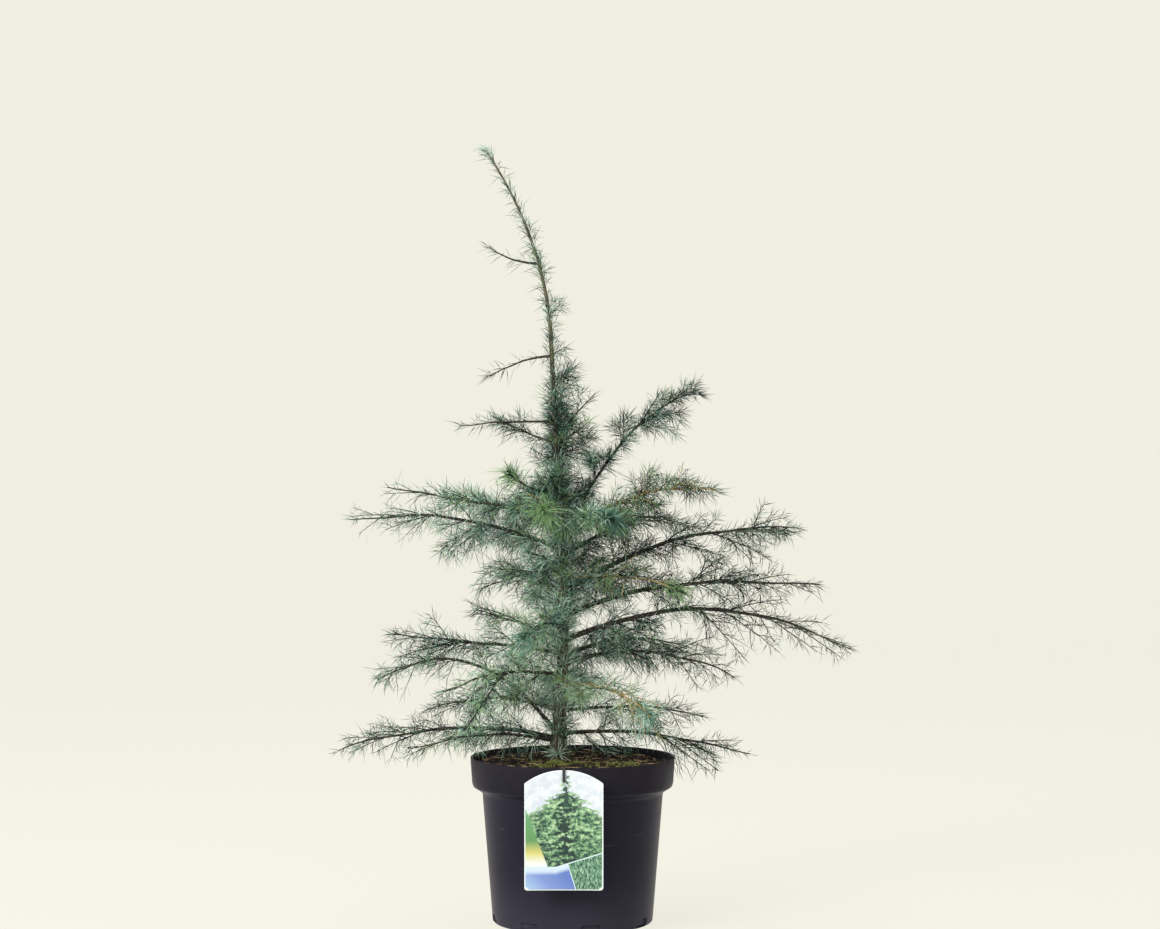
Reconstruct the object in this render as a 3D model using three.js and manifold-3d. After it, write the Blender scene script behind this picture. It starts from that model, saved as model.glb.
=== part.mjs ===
// A young deodar cedar in a round plastic nursery pot, with a picture label hooked over the rim.
// Millimetres. +Z is up, +X is to the right and -Y is the front, where the label hangs.
// The origin is at the centre of the pot's flat underside.
//
// The tree is a trunk with a nodding leader, boughs that leave it at a height and a bearing, and
// one plume of foliage round the outer stretch of each bough. Heights are measured from the floor,
// bearings from +X towards +Y, so 90 is the back and -90 the front.

import * as THREE from "three";
import { mergeVertices } from "three/addons/utils/BufferGeometryUtils.js";
import Module from "manifold-3d";

const GAP = 0.35; // left between pieces that touch
const FULL_TURN = 2 * Math.PI;

const POT = {
  height: 180,
  rimRadius: 112.5, // outside, at the top edge
  bandHeight: 32, // the deep collar under the top edge
  bandTaper: 2.5,
  shoulderHeight: 6, // the sloping underside of the collar
  neckRadius: 99, // outside, under the collar
  footRadius: 87.5,
  wall: 2,
  facets: 48,
};
const DRAIN = { count: 8, width: 19, height: 9, depth: 13, turn: -122 }; // notches in the foot
const SOIL = { edgeHeight: 171, crownHeight: 176, crownRadius: 42, facets: 36 };
const LABEL = { width: 83, height: 126.5, archRise: 14, cornerRadius: 3, thickness: 0.8, centreX: -9 };
const HOOK = { width: 3, thickness: 0.8, frontLeg: 15, backLeg: 8 };

const TRUNK = {
  foot: SOIL.crownHeight + GAP,
  top: 846,
  footX: -17,
  sway: 7, // a slow S bend
  depthSway: 5,
  nod: 79, // how far the soft leader leans to the left
  nodFrom: 0.68, // share of the height where it begins to lean
  footRadius: 7.4,
  tipRadius: 1,
  taper: 1.35,
  flare: 4.5,
  flareHeight: 14,
};

// Each bough: its bearing and height at the trunk, how far it reaches, how much higher its tip is,
// how far it arches above the straight line, and its thickness there (0 where the foliage reaches
// in to the trunk and the limb stays inside it). Its plume begins at the share `leafy` of the
// reach, and `wide` and `deep` are half its width and half its depth.
const LIMBS = {
  right_high: { bearing: 12, height: 414, reach: 168, rise: 160, arch: 50, thick: 3.4, leafy: 0.3, wide: 34, deep: 27 },
  right_front_high: { bearing: -28, height: 425, reach: 200, rise: 44, arch: 22, thick: 3, leafy: 0.3, wide: 42, deep: 27 },
  right_mid: { bearing: 8, height: 358, reach: 276, rise: 71, arch: 28, thick: 3.6, leafy: 0.24, wide: 44, deep: 29 },
  right_mid_low: { bearing: -14, height: 334, reach: 292, rise: 30, arch: 22, thick: 3.2, leafy: 0.3, wide: 40, deep: 26 },
  right_long: { bearing: -3, height: 309, reach: 326, rise: -13, arch: 30, thick: 4.4, leafy: 0.2, wide: 48, deep: 32 },
  right_back_low: { bearing: 32, height: 278, reach: 238, rise: -32, arch: 30, thick: 3, leafy: 0.28, wide: 42, deep: 27 },
  front_right_low: { bearing: -58, height: 254, reach: 190, rise: -26, arch: 22, thick: 3, leafy: 0.3, wide: 38, deep: 26 },
  right_back_lowest: { bearing: 24, height: 228, reach: 186, rise: -16, arch: 12, thick: 0, leafy: 0.14, wide: 36, deep: 22 },
  right_lowest: { bearing: 4, height: 203, reach: 226, rise: -28, arch: 14, thick: 3.2, leafy: 0.3, wide: 40, deep: 22 },
  back_right_top: { bearing: 50, height: 492, reach: 60, rise: 100, arch: 12, thick: 0, leafy: 0.2, wide: 26, deep: 22 },
  left_lowest: { bearing: 184, height: 197, reach: 250, rise: -18, arch: 26, thick: 3.6, leafy: 0.26, wide: 42, deep: 25 },
  left_front_lowest: { bearing: 209, height: 196, reach: 186, rise: -2, arch: 12, thick: 0, leafy: 0.3, wide: 34, deep: 17 },
  left_low: { bearing: 175, height: 291, reach: 202, rise: 20, arch: 6, thick: 3.6, leafy: 0.26, wide: 44, deep: 30 },
  left_drooping: { bearing: 187, height: 288, reach: 212, rise: -36, arch: 26, thick: 0, leafy: 0.48, wide: 30, deep: 25 },
  left_rising: { bearing: 215, height: 300, reach: 122, rise: 50, arch: 6, thick: 0, leafy: 0.16, wide: 29, deep: 23 },
  left_back_mid: { bearing: 150, height: 385, reach: 118, rise: -30, arch: 8, thick: 0, leafy: 0.16, wide: 34, deep: 25 },
  left_long: { bearing: 181, height: 406, reach: 244, rise: 32, arch: 20, thick: 3.4, leafy: 0.22, wide: 46, deep: 29 },
  left_upper: { bearing: 194, height: 440, reach: 205, rise: 36, arch: 6, thick: 3, leafy: 0.3, wide: 32, deep: 23 },
  left_rising_high: { bearing: 170, height: 507, reach: 80, rise: 56, arch: 4, thick: 0, leafy: 0.18, wide: 26, deep: 22 },
  left_high: { bearing: 190, height: 546, reach: 114, rise: -3, arch: 4, thick: 0, leafy: 0.14, wide: 22, deep: 18 },
  left_drooping_high: { bearing: 180, height: 626, reach: 79, rise: -37, arch: 5, thick: 0, leafy: 0.3, wide: 20, deep: 14 },
  left_top: { bearing: 176, height: 716, reach: 66, rise: 33, arch: -6, thick: 0, leafy: 0.24, wide: 14, deep: 12 },
  front_mid: { bearing: -98, height: 452, reach: 134, rise: -4, arch: 10, thick: 0, leafy: 0.14, wide: 34, deep: 28 },
  front_left_high: { bearing: 232, height: 452, reach: 106, rise: 50, arch: 6, thick: 0, leafy: 0.2, wide: 29, deep: 24 },
  front_right_mid: { bearing: -62, height: 425, reach: 134, rise: 8, arch: 16, thick: 0, leafy: 0.2, wide: 32, deep: 25 },
  front_right: { bearing: -42, height: 365, reach: 168, rise: -5, arch: 22, thick: 0, leafy: 0.2, wide: 38, deep: 27 },
  front_low: { bearing: -104, height: 322, reach: 140, rise: -6, arch: 10, thick: 0, leafy: 0.14, wide: 33, deep: 25 },
  front_left_low: { bearing: 224, height: 268, reach: 182, rise: -10, arch: 14, thick: 3, leafy: 0.26, wide: 42, deep: 27 },
  back_low: { bearing: 88, height: 240, reach: 236, rise: -10, arch: 24, thick: 3.4, leafy: 0.26, wide: 48, deep: 28 },
  back_left_low: { bearing: 134, height: 228, reach: 238, rise: -20, arch: 20, thick: 3.4, leafy: 0.26, wide: 46, deep: 26 },
  back_right_low: { bearing: 60, height: 285, reach: 240, rise: -8, arch: 26, thick: 3.4, leafy: 0.26, wide: 44, deep: 28 },
  back_mid: { bearing: 106, height: 345, reach: 218, rise: 20, arch: 20, thick: 3.2, leafy: 0.24, wide: 46, deep: 28 },
  back_right_mid: { bearing: 46, height: 395, reach: 190, rise: 40, arch: 20, thick: 3, leafy: 0.24, wide: 40, deep: 27 },
  back_left_mid: { bearing: 140, height: 430, reach: 168, rise: 35, arch: 14, thick: 0, leafy: 0.16, wide: 36, deep: 25 },
  back_high: { bearing: 92, height: 480, reach: 122, rise: 60, arch: 10, thick: 0, leafy: 0.16, wide: 31, deep: 24 },
};
const LEADER = { from: 0.6, wide: 21, tipWide: 11, beyondTip: 6 }; // foliage round the top of the trunk

const LIMB_SIDES = 6;
const LIMB_RINGS = 5;
const PLUME = { sides: 8, rings: 7, droop: 1.2, uneven: 0.15 };

const wasm = await Module();
wasm.setup();

// ---------------------------------------------------------------- solids and booleans

// A geometry's vertices merged by position, as a manifold-3d solid.
function solidOf(geometry) {
  const bare = geometry.clone();
  bare.deleteAttribute("normal");
  bare.deleteAttribute("uv");
  const merged = mergeVertices(bare, 1e-4);
  return new wasm.Manifold(
    new wasm.Mesh({
      numProp: 3,
      vertProperties: merged.attributes.position.array,
      triVerts: new Uint32Array(merged.index.array),
    }),
  );
}

// A manifold-3d solid as a geometry.
function geometryOf(solid) {
  const mesh = solid.getMesh();
  return new THREE.BufferGeometry()
    .setAttribute("position", new THREE.BufferAttribute(new Float32Array(mesh.vertProperties), 3))
    .setIndex(new THREE.BufferAttribute(new Uint32Array(mesh.triVerts), 1));
}

// The largest body of what is left of a solid after its neighbours are cut away.
function cutBy(solid, neighbours) {
  const left = neighbours.reduce((rest, other) => rest.subtract(other), solid).decompose();
  return left.reduce((largest, body) => (body.volume() > largest.volume() ? body : largest));
}

// A closed body swept along a line: `centre(t)` for t from 0 to 1, and `edge(t, angle)` giving the
// distances to the side and up at that angle of the section. On a line that climbs, `across` fixes
// the section's sideways direction, and with `level` every section lies level.
function sweep(centre, edge, rings, sides, { across = null, level = false } = {}) {
  const points = [];
  const step = 1e-3;
  for (let ring = 0; ring <= rings; ring++) {
    const t = ring / rings;
    const ahead = centre(Math.min(1, t + step)).sub(centre(Math.max(0, t - step))).normalize();
    if (level) {
      ahead.set(0, 0, 1);
    }
    const side = (across ?? new THREE.Vector3(-ahead.y, ahead.x, 0)).clone().normalize();
    const up = new THREE.Vector3().crossVectors(ahead, side).normalize();
    for (let k = 0; k < sides; k++) {
      const [out, rise] = edge(t, (FULL_TURN * k) / sides);
      points.push(centre(t).addScaledVector(side, out).addScaledVector(up, rise));
    }
  }
  points.push(centre(0), centre(1));
  const first = points.length - 2;
  const faces = [];
  for (let k = 0; k < sides; k++) {
    const next = (k + 1) % sides;
    for (let ring = 0; ring < rings; ring++) {
      const low = ring * sides;
      const high = low + sides;
      faces.push(low + k, low + next, high + next, low + k, high + next, high + k);
    }
    const last = rings * sides;
    faces.push(first, next, k, first + 1, last + k, last + next);
  }
  return new THREE.BufferGeometry().setFromPoints(points).setIndex(faces);
}

const round = (radius) => (t, angle) => [radius(t) * Math.cos(angle), radius(t) * Math.sin(angle)];

// ---------------------------------------------------------------- pot, soil and label

function latheZ(outline, facets) {
  const profile = outline.map(([radius, height]) => new THREE.Vector2(radius, height));
  return new THREE.LatheGeometry(profile, facets).rotateX(Math.PI / 2);
}

const bandFoot = POT.height - POT.bandHeight;
const neckHeight = bandFoot - POT.shoulderHeight;

function potGeometry() {
  const w = POT.wall;
  const shell = latheZ(
    [
      [0, 0],
      [POT.footRadius, 0],
      [POT.neckRadius, neckHeight],
      [POT.rimRadius - POT.bandTaper, bandFoot],
      [POT.rimRadius, POT.height],
      [POT.rimRadius - w, POT.height],
      [POT.rimRadius - POT.bandTaper - w, bandFoot + w],
      [POT.neckRadius - w, neckHeight + w],
      [POT.footRadius - w, w],
      [0, w],
    ],
    POT.facets,
  );
  const notches = [];
  for (let n = 0; n < DRAIN.count; n++) {
    const notch = new THREE.BoxGeometry(DRAIN.depth + 4, DRAIN.width, 2 * DRAIN.height);
    notch.translate(POT.footRadius - DRAIN.depth / 2 + 2, 0, 0);
    notch.rotateZ(THREE.MathUtils.degToRad(DRAIN.turn + (360 / DRAIN.count) * n));
    notches.push(solidOf(notch));
  }
  return geometryOf(cutBy(solidOf(shell), notches));
}

function soilGeometry() {
  const inset = POT.wall + GAP + 0.3; // the facets of the soil and the pot don't line up
  return latheZ(
    [
      [0, POT.wall + GAP],
      [POT.footRadius - inset, POT.wall + GAP],
      [POT.neckRadius - inset, neckHeight + POT.wall],
      [POT.rimRadius - POT.bandTaper - inset, bandFoot + POT.wall + GAP],
      [POT.rimRadius - inset - 1, SOIL.edgeHeight],
      [SOIL.crownRadius, SOIL.crownHeight],
      [0, SOIL.crownHeight],
    ],
    SOIL.facets,
  );
}

// The card's outline, with its origin at the middle of the top edge: an arched top between two
// shoulders, and two small round corners at the foot.
function labelGeometry() {
  const half = LABEL.width / 2;
  const corner = LABEL.cornerRadius;
  const archRadius = (half ** 2 + LABEL.archRise ** 2) / (2 * LABEL.archRise);
  const shoulderAngle = Math.asin(half / archRadius);
  const card = new THREE.Shape();
  card.moveTo(-half + corner, -LABEL.height);
  card.lineTo(half - corner, -LABEL.height);
  card.absarc(half - corner, corner - LABEL.height, corner, -Math.PI / 2, 0);
  card.lineTo(half, -LABEL.archRise);
  card.absarc(0, -archRadius, archRadius, Math.PI / 2 - shoulderAngle, Math.PI / 2 + shoulderAngle);
  card.lineTo(-half, corner - LABEL.height);
  card.absarc(corner - half, corner - LABEL.height, corner, Math.PI, 1.5 * Math.PI);
  return new THREE.ExtrudeGeometry(card, {
    depth: LABEL.thickness,
    bevelEnabled: false,
    curveSegments: 5,
  });
}

// A strip bent into an upside-down U over the rim and the card. Its outline lies in the plane of
// Y and Z, with its origin at the front leg's lower end.
const hookInside = POT.wall + LABEL.thickness + 3 * GAP + 1.7;
function hookGeometry() {
  const thick = HOOK.thickness;
  const back = hookInside + 2 * thick;
  const top = HOOK.frontLeg;
  const strip = new THREE.Shape();
  strip.moveTo(0, 0);
  strip.lineTo(thick, 0);
  strip.lineTo(thick, top - thick);
  strip.lineTo(back - thick, top - thick);
  strip.lineTo(back - thick, top - HOOK.backLeg);
  strip.lineTo(back, top - HOOK.backLeg);
  strip.lineTo(back, top);
  strip.lineTo(0, top);
  strip.closePath();
  return new THREE.ExtrudeGeometry(strip, { depth: HOOK.width, bevelEnabled: false });
}

// ---------------------------------------------------------------- trunk and boughs

// The trunk's centreline: a slow S bend, and then the leader's nod to the left.
function trunkCentre(share) {
  const nodding = Math.max(0, (share - TRUNK.nodFrom) / (1 - TRUNK.nodFrom));
  return new THREE.Vector3(
    TRUNK.footX + TRUNK.sway * Math.sin(FULL_TURN * share) - TRUNK.nod * nodding ** 2,
    TRUNK.depthSway * Math.sin(1.5 * Math.PI * share),
    TRUNK.foot + (TRUNK.top - TRUNK.foot) * share,
  );
}

function trunkRadius(share) {
  const height = (TRUNK.top - TRUNK.foot) * share;
  const body = TRUNK.tipRadius + (TRUNK.footRadius - TRUNK.tipRadius) * (1 - share) ** TRUNK.taper;
  return body + TRUNK.flare * Math.exp(-height / TRUNK.flareHeight);
}

const shareAt = (height) => (height - TRUNK.foot) / (TRUNK.top - TRUNK.foot);

function trunkGeometry(extra = 0) {
  const rings = 26;
  const closer = (t) => t ** 1.25; // rings lie closer together in the flare
  return sweep(
    (t) => trunkCentre(closer(t)),
    round((t) => trunkRadius(closer(t)) + extra),
    rings,
    8,
    { across: new THREE.Vector3(0, 1, 0), level: true },
  );
}

// A bough's centreline from the trunk's axis: straight out along its bearing, with its rise and
// its arch on top.
function limbCentre(limb) {
  const root = trunkCentre(shareAt(limb.height));
  const bearing = THREE.MathUtils.degToRad(limb.bearing);
  return (t) =>
    new THREE.Vector3(
      root.x + limb.reach * t * Math.cos(bearing),
      root.y + limb.reach * t * Math.sin(bearing),
      limb.height + limb.rise * t + 4 * limb.arch * t * (1 - t),
    );
}

function limbGeometry(limb, extra = 0) {
  const centre = limbCentre(limb);
  const end = limb.leafy - (GAP - extra) / limb.reach;
  return sweep(
    (t) => centre(end * t),
    round((t) => limb.thick * (1 - 0.45 * t) + extra),
    LIMB_RINGS,
    LIMB_SIDES,
  );
}

// ---------------------------------------------------------------- foliage

// A plume is pointed at both ends and fullest before its middle, hangs lower than it stands up,
// and bulges unevenly, each in its own way.
function plumeGeometry(limb, order, extra = 0) {
  const centre = limbCentre(limb);
  const along = (t) => limb.leafy + (1 - limb.leafy) * t;
  const fullness = (t) => Math.sin(Math.PI * Math.min(1, 0.02 + 0.96 * t) ** 0.8) ** 0.7;
  const bulge = (t, angle) =>
    1 +
    PLUME.uneven * Math.sin(2 * angle + 9 * t + 1.7 * order) +
    PLUME.uneven * Math.sin(3 * angle - 14 * t + 2.9 * order);
  const edge = (t, angle) => {
    const size = fullness(t) * bulge(t, angle);
    const deep = Math.sin(angle) < 0 ? limb.deep * PLUME.droop : limb.deep;
    return [
      (limb.wide * size + extra) * Math.cos(angle),
      (deep * size + extra) * Math.sin(angle),
    ];
  };
  return sweep((t) => centre(along(t)), edge, PLUME.rings, PLUME.sides);
}

// The sleeve of short shoots and needles round the top of the trunk, past its tip.
function leaderGeometry() {
  const end = trunkCentre(1);
  const ahead = end.clone().sub(trunkCentre(0.98)).normalize();
  const overrun = LEADER.beyondTip / (TRUNK.top - TRUNK.foot);
  const along = (t) => LEADER.from + (1 + overrun - LEADER.from) * t;
  const centre = (t) =>
    along(t) <= 1
      ? trunkCentre(along(t))
      : end.clone().addScaledVector(ahead, (along(t) - 1) * (TRUNK.top - TRUNK.foot));
  const edge = (t, angle) => {
    const body = THREE.MathUtils.lerp(LEADER.wide, LEADER.tipWide, t);
    const ends = Math.min(1, 0.25 + 7 * t, 0.15 + 9 * (1 - t));
    const size = body * ends * (1 + 0.22 * Math.sin(angle + 17 * t) + 0.1 * Math.sin(3 * angle - 23 * t));
    return [size * Math.cos(angle), size * Math.sin(angle)];
  };
  return sweep(centre, edge, 12, PLUME.sides, { across: new THREE.Vector3(0, 1, 0) });
}

// ---------------------------------------------------------------- assembly

const MATERIALS = {
  pot: new THREE.MeshStandardMaterial({ color: 0x2a2930, roughness: 0.5 }),
  soil: new THREE.MeshStandardMaterial({ color: 0x3b281d, roughness: 1 }),
  label: new THREE.MeshStandardMaterial({ color: 0xbcd9cf, roughness: 0.35 }),
  bark: new THREE.MeshStandardMaterial({ color: 0x5f5340, roughness: 0.9 }),
  foliage: new THREE.MeshStandardMaterial({ color: 0x6b8f7c, roughness: 0.8 }),
};

function named(name, geometry, material) {
  const mesh = new THREE.Mesh(geometry, material);
  mesh.name = name;
  return mesh;
}

function potGroup() {
  const group = new THREE.Group();
  group.add(named("pot", potGeometry(), MATERIALS.pot));
  group.add(named("soil", soilGeometry(), MATERIALS.soil));

  const label = named("label", labelGeometry(), MATERIALS.label);
  label.rotation.x = Math.PI / 2;
  const labelBack = -POT.rimRadius - GAP;
  label.position.set(LABEL.centreX, labelBack, POT.height - 1.5);
  group.add(label);

  const hook = named("label_hook", hookGeometry(), MATERIALS.pot);
  const hookFront = labelBack - LABEL.thickness - GAP - HOOK.thickness;
  hook.position.set(
    LABEL.centreX - HOOK.width / 2,
    hookFront,
    POT.height + GAP + HOOK.thickness - HOOK.frontLeg,
  );
  hook.rotation.set(Math.PI / 2, 0, Math.PI / 2, "ZYX");
  group.add(hook);
  return group;
}

function treeGroup() {
  const group = new THREE.Group();
  group.add(named("trunk", trunkGeometry(), MATERIALS.bark));
  const trunkRoom = solidOf(trunkGeometry(GAP));

  // Each bough gives way to the trunk and the boughs made before it, and each plume to all of
  // those, the pot and the plumes made before it.
  const room = [trunkRoom];
  const thickLimbs = Object.entries(LIMBS).filter(([, limb]) => limb.thick > 0);
  for (const [name, limb] of thickLimbs) {
    const bough = cutBy(solidOf(limbGeometry(limb)), room);
    room.push(solidOf(limbGeometry(limb, GAP)));
    group.add(named("bough_" + name, geometryOf(bough), MATERIALS.bark));
  }
  const potRoom = solidOf(
    new THREE.CylinderGeometry(POT.rimRadius + 3, POT.rimRadius + 3, POT.height, 48)
      .rotateX(Math.PI / 2)
      .translate(0, 0, POT.height / 2 + 1.5),
  );
  room.push(potRoom);
  Object.entries(LIMBS).forEach(([name, limb], order) => {
    const plume = cutBy(solidOf(plumeGeometry(limb, order)), room);
    room.push(solidOf(plumeGeometry(limb, order, GAP)));
    group.add(named("foliage_" + name, geometryOf(plume), MATERIALS.foliage));
  });
  const leader = cutBy(solidOf(leaderGeometry()), room);
  group.add(named("foliage_leader", geometryOf(leader), MATERIALS.foliage));
  return group;
}

const cedar = new THREE.Group();
cedar.add(potGroup(), treeGroup());

export default cedar;
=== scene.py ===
import math

import bpy
import numpy as np
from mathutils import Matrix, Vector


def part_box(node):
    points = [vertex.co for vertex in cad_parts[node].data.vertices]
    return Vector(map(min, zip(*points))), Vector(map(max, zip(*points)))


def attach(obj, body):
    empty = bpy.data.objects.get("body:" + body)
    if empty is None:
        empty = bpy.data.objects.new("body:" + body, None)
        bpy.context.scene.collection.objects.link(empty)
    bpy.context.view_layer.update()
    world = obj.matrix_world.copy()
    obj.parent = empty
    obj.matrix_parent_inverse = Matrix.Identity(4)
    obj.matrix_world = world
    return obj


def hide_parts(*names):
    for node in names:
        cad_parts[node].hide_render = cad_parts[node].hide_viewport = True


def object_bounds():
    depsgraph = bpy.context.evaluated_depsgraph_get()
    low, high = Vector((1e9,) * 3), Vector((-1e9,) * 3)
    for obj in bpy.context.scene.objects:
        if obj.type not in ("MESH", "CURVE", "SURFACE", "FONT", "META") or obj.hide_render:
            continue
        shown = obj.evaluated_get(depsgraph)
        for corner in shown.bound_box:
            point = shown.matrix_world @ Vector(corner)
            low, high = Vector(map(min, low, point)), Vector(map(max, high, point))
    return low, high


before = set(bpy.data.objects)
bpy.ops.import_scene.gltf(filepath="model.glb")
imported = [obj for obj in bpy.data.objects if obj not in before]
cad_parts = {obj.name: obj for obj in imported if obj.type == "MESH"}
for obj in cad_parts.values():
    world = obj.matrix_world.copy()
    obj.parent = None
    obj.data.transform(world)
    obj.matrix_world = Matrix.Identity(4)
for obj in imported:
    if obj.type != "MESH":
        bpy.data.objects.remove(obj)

# ----------------------------------------
# The view. The tree stands on a pale, level floor that turns up all round it with no corner, and
# is seen straight from the front at the height of its middle, from about three times its own
# height away. The lens is long, so the boughs keep their true lengths.
# ----------------------------------------

CREAM = (0.871, 0.855, 0.76)
CAMERA_ACROSS, CAMERA_AWAY = 0.008, 2.73
CAMERA_SHARE = 0.587  # of the plant's height
LENS = 77.2
LIT_POINT = (0, 0, 0.4)

cad_low, cad_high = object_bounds()


def placed(name, data):
    """A new object that holds that data, in the scene."""
    made = bpy.data.objects.new(name, data)
    bpy.context.scene.collection.objects.link(made)
    return made


camera = placed("camera", bpy.data.cameras.new("camera"))
sight_height = cad_low.z + CAMERA_SHARE * (cad_high.z - cad_low.z)
camera.location = (CAMERA_ACROSS, -CAMERA_AWAY, sight_height)
camera.rotation_euler = (math.pi / 2, 0, 0)
camera.data.sensor_width = 36
camera.data.lens = LENS
bpy.context.scene.camera = camera
bpy.context.scene.view_settings.view_transform = "Standard"


def lamp(name, place, size, power, colour):
    """A square area light of that size in metres at place. It faces the middle of the plant: up by
    the slope of the way there, and round by its bearing."""
    light = bpy.data.lights.new(name, "AREA")
    light.size, light.energy, light.color = size, power, colour
    holder = placed(name, light)
    holder.location = place
    towards = np.subtract(LIT_POINT, place)
    slope = math.atan2(towards[2], math.hypot(towards[0], towards[1]))
    bearing = math.atan2(towards[1], towards[0])
    holder.rotation_euler = (math.pi / 2 + slope, 0, bearing - math.pi / 2)


lamp("key", (-2.1, -2.1, 1.9), 1.2, 88, (1.0, 0.985, 0.955))
lamp("top", (-0.3, 0.3, 2.6), 1.6, 26, (1.0, 0.99, 0.97))


def mesh_piece(name, points, face_sets, smooth=True):
    """A mesh object from an array of points and one array of faces for each number of corners."""
    mesh = bpy.data.meshes.new(name)
    mesh.vertices.add(len(points))
    mesh.vertices.foreach_set("co", np.ascontiguousarray(points, np.float32).ravel())
    corners = np.concatenate([np.asarray(faces).ravel() for faces in face_sets])
    sizes = np.concatenate([np.full(len(faces), len(faces[0])) for faces in face_sets])
    mesh.loops.add(len(corners))
    mesh.loops.foreach_set("vertex_index", corners.astype(np.int32))
    mesh.polygons.add(len(sizes))
    mesh.polygons.foreach_set("loop_start", (np.cumsum(sizes) - sizes).astype(np.int32))
    mesh.polygons.foreach_set("use_smooth", np.full(len(sizes), smooth))
    mesh.update(calc_edges=True)
    mesh.validate()
    return placed(name, mesh)


def grid_faces(rows, columns, wrap):
    """Quads between neighbours on a grid of points numbered row by row. With wrap the last column
    meets the first. Facing out when rows run up and columns run anticlockwise."""
    steps = columns if wrap else columns - 1
    row, column = np.meshgrid(np.arange(rows - 1), np.arange(steps), indexing="ij")
    here = row * columns + column
    beside = row * columns + (column + 1) % columns
    return np.stack([here, beside, beside + columns, here + columns], -1).reshape(-1, 4)


def full_turn(count):
    """That many even angles of a full turn."""
    return np.linspace(0, 2 * math.pi, count, endpoint=False)


def maths(operation, swapped=False):
    """A method that joins a Value and another, or a number, in one Math node."""

    def method(self, other=0.0):
        pair = (other, self) if swapped else (self, other)
        return self.finish.node("ShaderNodeMath", {"operation": operation}, enumerate(pair))

    return method


class Value:
    """One output of a material's nodes. Sums on it add Math nodes."""

    __add__ = __radd__ = maths("ADD")
    __mul__ = __rmul__ = maths("MULTIPLY")
    __sub__, __rsub__ = maths("SUBTRACT"), maths("SUBTRACT", swapped=True)
    __truediv__, __lt__ = maths("DIVIDE"), maths("LESS_THAN")
    least, most = maths("MINIMUM"), maths("MAXIMUM")
    power, root = maths("POWER"), maths("SQRT")
    size, wave = maths("ABSOLUTE"), maths("SINE")

    def __init__(self, finish, socket):
        self.finish, self.socket = finish, socket

    def between(self, low, high):
        """0 on the side of low and 1 on the side of high, with a smooth slope between them."""
        settings = {"interpolation_type": "SMOOTHSTEP", "clamp": True}
        sockets = {"Value": self, "From Min": low, "From Max": high}
        return self.finish.node("ShaderNodeMapRange", settings, sockets)


class Finish:
    """A material built round one Principled shader."""

    def __init__(self, name, colour, roughness, **settings):
        self.material = bpy.data.materials.new(name)
        self.material.use_nodes = True
        self.nodes = self.material.node_tree.nodes
        self.links = self.material.node_tree.links
        self.shader = self.nodes["Principled BSDF"]
        self.material.diffuse_color = (*colour, 1)
        self.set("Base Color", colour)
        self.set("Roughness", roughness)
        for socket, value in settings.items():
            self.set(socket.replace("_", " "), value)

    def put(self, socket, value):
        """A number, a colour or a Value into one input."""
        if isinstance(value, Value):
            self.links.new(value.socket, socket)
        elif isinstance(value, (tuple, list)):
            socket.default_value = (*value, 1)[: len(socket.default_value)]
        else:
            socket.default_value = value

    def set(self, socket, value):
        self.put(self.shader.inputs[socket], value)

    def cover(self, piece):
        piece.data.materials.append(self.material)

    def node(self, kind, settings=(), sockets=(), out=0):
        """A node of that kind. Its settings are set first, then its inputs by name or place."""
        node = self.nodes.new(kind)
        for name, value in dict(settings).items():
            if name == "stops":
                ramp = node.color_ramp.elements
                while len(ramp) < len(value):
                    ramp.new(1)
                for stop, (place, colour) in zip(ramp, value):
                    stop.position, stop.color = place, (*colour, 1)
            else:
                setattr(node, name, value)
        for name, value in dict(sockets).items():
            self.put(node.inputs[name], value)
        return Value(self, node.outputs[out])

    def place(self, stretch=(1, 1, 1), where=None, turned=0):
        """Object coordinates, or those of where, stretched, and turned about the third of them."""
        where = where or self.node("ShaderNodeTexCoord", out="Object")
        sockets = {"Vector": where, "Scale": stretch, "Rotation": (0, 0, turned)}
        return self.node("ShaderNodeMapping", {}, sockets)

    def axis(self, number, where=None):
        """One coordinate of a place: 0 across, 1 back and 2 up."""
        return self.node("ShaderNodeSeparateXYZ", {}, {0: where or self.place()}, out=number)

    def noise(self, scale, detail=4, where=None, roughness=0.55):
        """Soft noise from 0 to 1."""
        where = where or self.place()
        sockets = {"Vector": where, "Scale": scale, "Detail": detail, "Roughness": roughness}
        return self.node("ShaderNodeTexNoise", {}, sockets)

    def mix(self, factor, low, high):
        """The colour low where factor is 0 and high where it is 1."""
        return self.node("ShaderNodeMix", {"data_type": "RGBA"}, {0: factor, 6: low, 7: high}, 2)

    def ramp(self, factor, *stops):
        """A colour from pairs of place and colour along a factor of 0 to 1."""
        return self.node("ShaderNodeValToRGB", {"stops": stops}, {0: factor})

    def relief(self, height, strength, distance):
        """Bump on the shader's normal from a height of 0 to 1."""
        sockets = {"Height": height, "Strength": strength, "Distance": distance}
        self.set("Normal", self.node("ShaderNodeBump", {}, sockets))


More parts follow.
